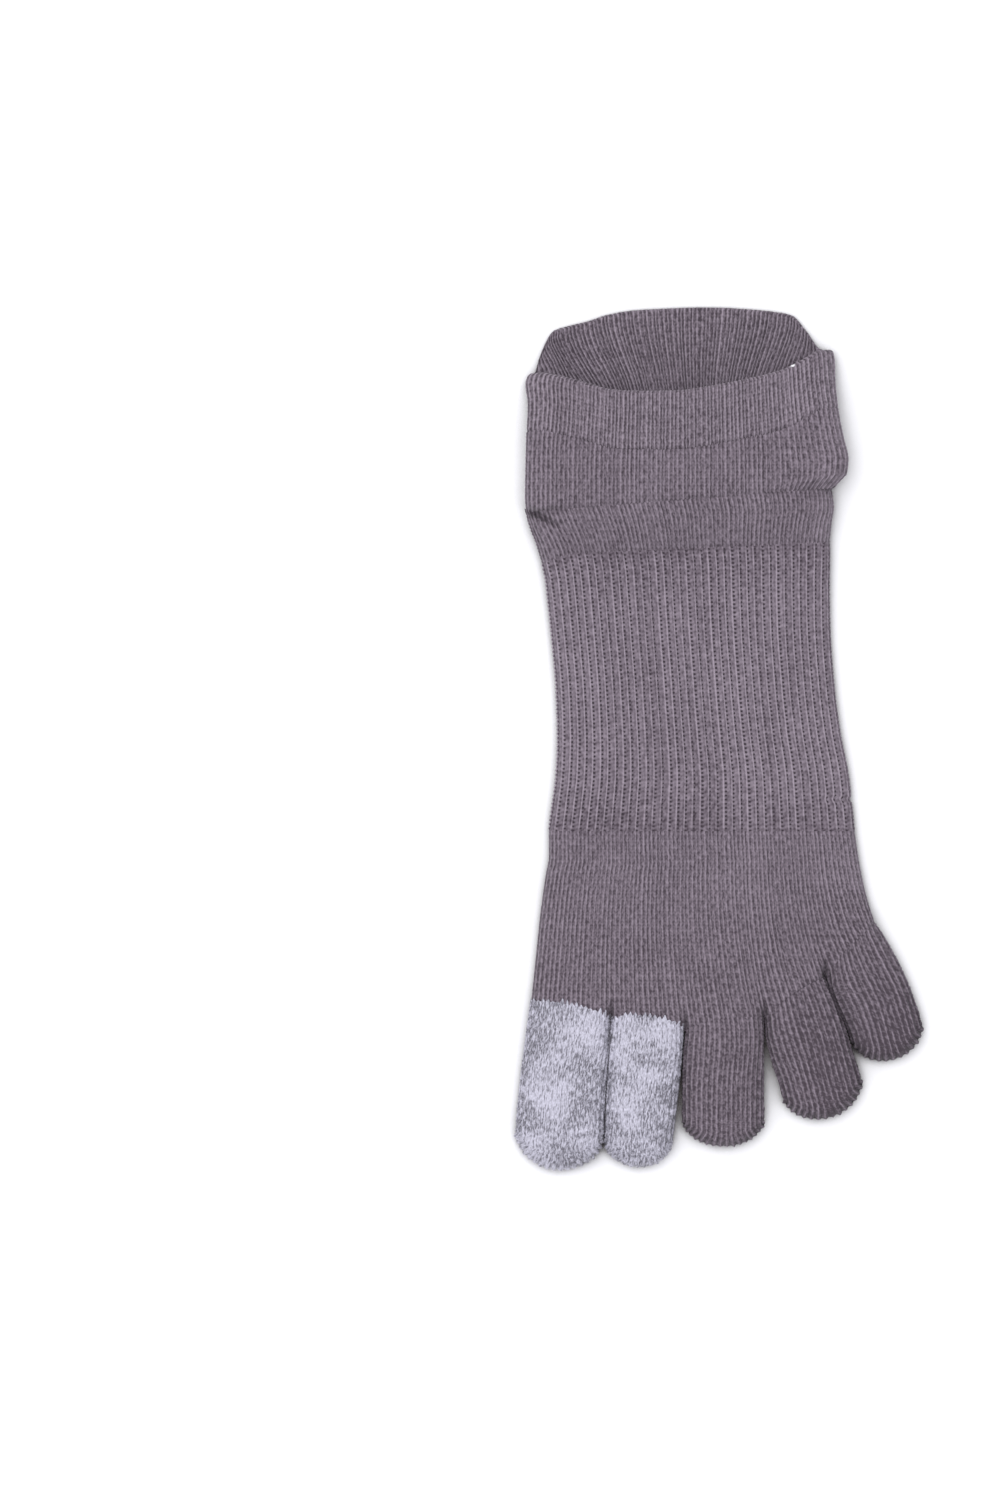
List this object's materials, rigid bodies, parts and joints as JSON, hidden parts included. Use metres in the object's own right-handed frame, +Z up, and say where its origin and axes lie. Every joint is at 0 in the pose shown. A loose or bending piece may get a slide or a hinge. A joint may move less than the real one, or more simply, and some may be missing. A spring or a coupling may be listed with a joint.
{
  "type": "toe sock",
  "caption": "Left-foot toe sock of ribbed and plain knit, laid flat with its sole down, with separate toe tubes, an arch band, a heel pocket and a double rib cuff.",
  "frame": {"origin": "on the surface the sock lies on, under the middle of its bounding box", "axes": "+X across the foot towards the little toe, +Y along the foot from the toes to the cuff, +Z up"},
  "size_m": [0.1174, 0.2496, 0.0146],
  "materials": {
    "charcoal_jersey": "matte plain knit of fine grey-mauve yarn",
    "arch_rib": "matte tuck rib of the same yarn, with small open holes between the ridges",
    "rib_cuff": "matte double rib of the same yarn",
    "silver_jersey": "marled plain knit of pale silver and dark grey yarn with a soft metallic sheen"
  },
  "bodies": {
    "root": {"cuff": "rib_cuff", "ankle": "charcoal_jersey", "heel_pocket": "charcoal_jersey", "instep": "charcoal_jersey", "arch_band": "arch_rib", "forefoot": "charcoal_jersey", "big_toe": "silver_jersey", "second_toe": "silver_jersey", "third_toe": "charcoal_jersey", "fourth_toe": "charcoal_jersey", "little_toe": "charcoal_jersey"}
  },
  "joints": []
}
